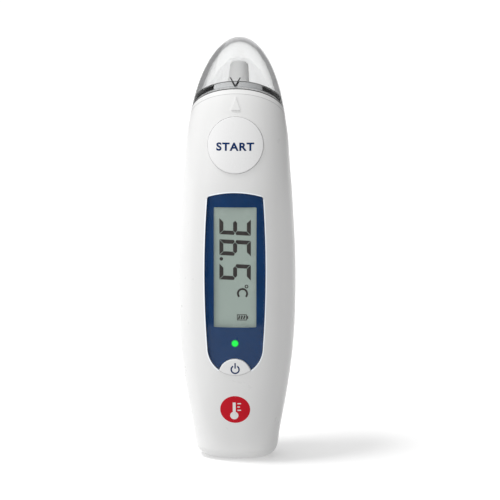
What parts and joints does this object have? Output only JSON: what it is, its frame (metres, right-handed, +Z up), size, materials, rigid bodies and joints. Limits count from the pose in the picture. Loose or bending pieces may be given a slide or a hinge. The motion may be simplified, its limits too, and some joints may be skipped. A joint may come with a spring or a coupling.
{
  "type": "ear thermometer",
  "caption": "Upright infrared ear thermometer with a display, a measuring button, a power button and a clear cap over its leaning probe.",
  "frame": {"origin": "centre of the flat base that the thermometer stands on", "axes": "+Z up along the body, the display faces -Y and the head leans towards +Y, +X across the body"},
  "size_m": [0.04, 0.0384, 0.1437],
  "materials": {
    "housing": "glossy white",
    "button": "satin white",
    "badge": "glossy red",
    "clear_plastic": "clear",
    "chrome_trim": "polished",
    "printed_film": "dark blue print",
    "lcd_glass": "clear glass",
    "reflector": "grey green",
    "inner_plastic": "white moulded",
    "dark_plastic": "black moulded",
    "rubber": "soft",
    "foam": "foam",
    "board": "solder mask",
    "steel": "nickel plated",
    "gold": "gold plated",
    "metal_sleeve": "turned",
    "battery": "printed can",
    "led": "green light",
    "flex": "amber film"
  },
  "bodies": {
    "housing": {"front_housing": "housing", "rear_housing": "housing", "badge": "badge", "housing_screws": "steel", "neck_collar": "housing", "trim_ring": "chrome_trim", "nose_cone": "housing", "nose_seal": "rubber", "probe_window": "lcd_glass", "wave_guide": "gold", "sensor_can": "steel", "sensor_pins": "gold", "sensor_holder": "metal_sleeve", "sensor_flex": "flex", "display_window": "clear_plastic", "display_mask": "printed_film", "lcd_front_glass": "lcd_glass", "lcd_rear_glass": "lcd_glass", "lcd_reflector": "reflector", "lcd_frame": "inner_plastic", "zebra_strip": "rubber", "status_led": "led", "led_light_pipe": "led", "main_board": "board", "board_chips": "dark_plastic", "quartz_crystal": "steel", "buzzer": "dark_plastic", "measure_switch": "steel", "power_switch": "steel", "battery_tray": "inner_plastic", "battery_left": "battery", "battery_right": "battery", "bridge_contact": "steel", "positive_contact": "steel", "negative_contact": "steel"},
    "cap": {"cap": "clear_plastic"},
    "measure_button": {"measure_button": "button"},
    "measure_plunger": {"measure_switch_plunger": "dark_plastic"},
    "power_button": {"power_button": "button"},
    "power_plunger": {"power_switch_plunger": "dark_plastic"},
    "battery_cover": {"battery_cover": "housing", "cover_pad": "foam"}
  },
  "joints": [
    {"name": "cap_pull", "type": "slide", "parent": "housing", "child": "cap", "axis": [0, 0.5, 0.866], "range_m": [0, 0.026]},
    {"name": "measure_press", "type": "slide", "parent": "housing", "child": "measure_button", "axis": [0, 1, 0], "range_m": [0, 0.0008], "stiffness_N_per_m": 2500, "springref_m": -0.0002},
    {"name": "measure_switch_press", "type": "slide", "parent": "housing", "child": "measure_plunger", "axis": [0, 1, 0], "range_m": [0, 0.0003]},
    {"name": "power_press", "type": "slide", "parent": "housing", "child": "power_button", "axis": [0, 1, 0], "range_m": [0, 0.0006], "stiffness_N_per_m": 3000, "springref_m": -0.0002},
    {"name": "power_switch_press", "type": "slide", "parent": "housing", "child": "power_plunger", "axis": [0, 1, 0], "range_m": [0, 0.00025]},
    {"name": "battery_cover_hinge", "type": "hinge", "parent": "housing", "child": "battery_cover", "pos_m": [0, 0.0122, 0.0129], "axis": [-1, 0, 0], "range_deg": [0, 60]}
  ],
  "couplings": [
    {"joint": "measure_switch_press", "follows": "measure_press", "ratio": 0.375},
    {"joint": "power_switch_press", "follows": "power_press", "ratio": 0.4}
  ]
}
